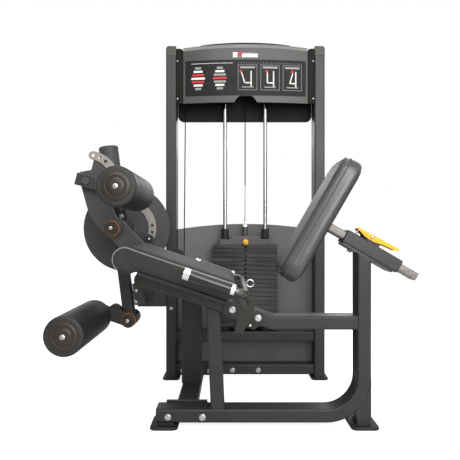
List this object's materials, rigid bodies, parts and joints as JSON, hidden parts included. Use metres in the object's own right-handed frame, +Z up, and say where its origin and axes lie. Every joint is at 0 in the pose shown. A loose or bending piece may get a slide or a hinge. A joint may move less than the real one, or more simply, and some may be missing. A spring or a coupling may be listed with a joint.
{
  "type": "leg extension machine",
  "caption": "Seated leg extension and curl machine: selector weight stack in a tower, swinging arm with foam rollers, adjustable back pad.",
  "frame": {"origin": "on the floor under the middle of the machine's bounding box", "axes": "+X from the shins to the back pad, +Y from the user side to the weight tower, +Z up"},
  "size_m": [1.3869, 1.1404, 1.622],
  "materials": {
    "uprights": "satin",
    "upright_caps": "satin",
    "tower_feet": "matte",
    "crossmembers": "satin",
    "rear_shroud": "satin",
    "header_fascia": "satin",
    "header_placard": "gloss",
    "header_cheeks": "matte",
    "header_rear_cover": "matte",
    "guide_rods": "polished",
    "stack_bumpers": "matte",
    "weight_plates": "satin",
    "sheave_brackets": "satin",
    "head_sheave": "satin",
    "left_sheave": "satin",
    "low_sheave": "satin",
    "weight_cable": "satin",
    "stop_bracket": "satin",
    "rear_bearing_arm": "satin",
    "base_tube": "satin",
    "rear_leg": "satin",
    "front_feet": "matte",
    "link_beam": "satin",
    "column": "satin",
    "seat_post": "satin",
    "seat_rail": "satin",
    "seat_gusset": "satin",
    "back_rail": "satin",
    "back_sleeve": "satin",
    "sleeve_liner": "matte",
    "seat_board": "matte",
    "seat_pad": "grained vinyl",
    "handle_tube": "satin",
    "handle_grips": "matte",
    "grip_collars": "polished",
    "support_arm": "satin",
    "main_bearing": "satin",
    "thigh_quadrant": "satin",
    "frame_bolts": "polished",
    "pivot_shaft": "satin",
    "cam_disc": "satin",
    "range_quadrant": "satin",
    "movement_arm": "satin",
    "counterweight": "satin",
    "arm_trim": "satin",
    "range_pin": "polished",
    "shin_link": "satin",
    "shin_roller": "foam",
    "shin_roller_caps": "satin",
    "thigh_arm": "satin",
    "thigh_roller": "foam",
    "thigh_roller_caps": "satin",
    "thigh_pin": "polished",
    "back_bar": "satin",
    "back_board": "matte",
    "back_pad": "grained vinyl",
    "release_lever": "satin",
    "brake_plunger": "satin",
    "stack_head": "satin",
    "selector_pin": "polished"
  },
  "bodies": {
    "frame": {"uprights": "uprights", "upright_caps": "upright_caps", "tower_feet": "tower_feet", "crossmembers": "crossmembers", "rear_shroud": "rear_shroud", "header_fascia": "header_fascia", "header_placard": "header_placard", "header_cheeks": "header_cheeks", "header_rear_cover": "header_rear_cover", "guide_rods": "guide_rods", "stack_bumpers": "stack_bumpers", "weight_plates": "weight_plates", "sheave_brackets": "sheave_brackets", "weight_cable": "weight_cable", "stop_bracket": "stop_bracket", "rear_bearing_arm": "rear_bearing_arm", "base_tube": "base_tube", "rear_leg": "rear_leg", "front_feet": "front_feet", "link_beam": "link_beam", "column": "column", "seat_post": "seat_post", "seat_rail": "seat_rail", "seat_gusset": "seat_gusset", "back_rail": "back_rail", "back_sleeve": "back_sleeve", "sleeve_liner": "sleeve_liner", "seat_board": "seat_board", "seat_pad": "seat_pad", "handle_tube": "handle_tube", "handle_grips": "handle_grips", "grip_collars": "grip_collars", "support_arm": "support_arm", "main_bearing": "main_bearing", "thigh_quadrant": "thigh_quadrant", "frame_bolts": "frame_bolts"},
    "head_sheave": {"head_sheave": "head_sheave"},
    "left_sheave": {"left_sheave": "left_sheave"},
    "low_sheave": {"low_sheave": "low_sheave"},
    "arm": {"pivot_shaft": "pivot_shaft", "cam_disc": "cam_disc", "range_quadrant": "range_quadrant", "movement_arm": "movement_arm", "counterweight": "counterweight", "arm_trim": "arm_trim"},
    "range_pin": {"range_pin": "range_pin"},
    "shin_link": {"shin_link": "shin_link"},
    "shin_roller": {"shin_roller": "shin_roller", "shin_roller_caps": "shin_roller_caps"},
    "thigh_arm": {"thigh_arm": "thigh_arm"},
    "thigh_roller": {"thigh_roller": "thigh_roller", "thigh_roller_caps": "thigh_roller_caps"},
    "thigh_pin": {"thigh_pin": "thigh_pin"},
    "back_carriage": {"back_bar": "back_bar", "back_board": "back_board", "back_pad": "back_pad"},
    "release_lever": {"release_lever": "release_lever"},
    "brake_plunger": {"brake_plunger": "brake_plunger"},
    "stack_head": {"stack_head": "stack_head"},
    "selector_pin": {"selector_pin": "selector_pin"}
  },
  "joints": [
    {"name": "arm_swing", "type": "hinge", "parent": "frame", "child": "arm", "pos_m": [-0.49, 0.2, 0.733], "axis": [0, 1, 0], "range_deg": [0, 90]},
    {"name": "stack_lift", "type": "slide", "parent": "frame", "child": "stack_head", "axis": [0, 0, 1], "range_m": [0, 0.3]},
    {"name": "low_sheave_spin", "type": "hinge", "parent": "frame", "child": "low_sheave", "pos_m": [-0.263, 0.391, 0.588], "axis": [0, 1, 0], "range_deg": [0, 381]},
    {"name": "left_sheave_spin", "type": "hinge", "parent": "frame", "child": "left_sheave", "pos_m": [-0.173, 0.503, 1.508], "axis": [0, 1, 0], "range_deg": [-381, 0]},
    {"name": "head_sheave_spin", "type": "hinge", "parent": "frame", "child": "head_sheave", "pos_m": [0.03, 0.503, 1.508], "axis": [0, 1, 0], "range_deg": [-381, 0]},
    {"name": "range_pin_pull", "type": "slide", "parent": "arm", "child": "range_pin", "axis": [0, -1, 0], "range_m": [0, 0.015], "stiffness_N_per_m": 500, "springref_m": -0.005},
    {"name": "shin_link_turn", "type": "hinge", "parent": "arm", "child": "shin_link", "pos_m": [-0.44234, 0.2, 0.33181], "axis": [0, 1, 0], "range_deg": [-50, 2]},
    {"name": "shin_roller_spin", "type": "hinge", "parent": "shin_link", "child": "shin_roller", "pos_m": [-0.55357, -0.241, 0.3712], "axis": [0, 1, 0], "continuous": true},
    {"name": "thigh_arm_turn", "type": "hinge", "parent": "frame", "child": "thigh_arm", "pos_m": [-0.594, 0.025, 0.927], "axis": [0, 1, 0], "range_deg": [-97, 10]},
    {"name": "thigh_roller_spin", "type": "hinge", "parent": "thigh_arm", "child": "thigh_roller", "pos_m": [-0.37927, -0.241, 0.87067], "axis": [0, 1, 0], "continuous": true},
    {"name": "thigh_pin_pull", "type": "slide", "parent": "thigh_arm", "child": "thigh_pin", "axis": [0, -1, 0], "range_m": [0, 0.015], "stiffness_N_per_m": 500, "springref_m": -0.005},
    {"name": "back_slide", "type": "slide", "parent": "frame", "child": "back_carriage", "axis": [0.866, 0, -0.5], "range_m": [-0.06, 0.06]},
    {"name": "release_lever_press", "type": "hinge", "parent": "frame", "child": "release_lever", "pos_m": [0.52358, -0.222, 0.69747], "axis": [0, 1, 0], "range_deg": [0, 10], "stiffness_Nm_per_rad": 2, "springref_deg": -11.46},
    {"name": "brake_plunger_lift", "type": "slide", "parent": "frame", "child": "brake_plunger", "axis": [0.5, 0, 0.866], "range_m": [0, 0.0095]},
    {"name": "selector_pin_pull", "type": "slide", "parent": "stack_head", "child": "selector_pin", "axis": [0, -1, 0], "range_m": [0, 0.05]}
  ],
  "couplings": [
    {"joint": "stack_lift", "follows": "arm_swing", "m_per_rad": 0.19},
    {"joint": "low_sheave_spin", "follows": "arm_swing", "ratio": 4.2222},
    {"joint": "left_sheave_spin", "follows": "arm_swing", "ratio": -4.2222},
    {"joint": "head_sheave_spin", "follows": "arm_swing", "ratio": -4.2222},
    {"joint": "brake_plunger_lift", "follows": "release_lever_press", "m_per_rad": 0.052}
  ]
}
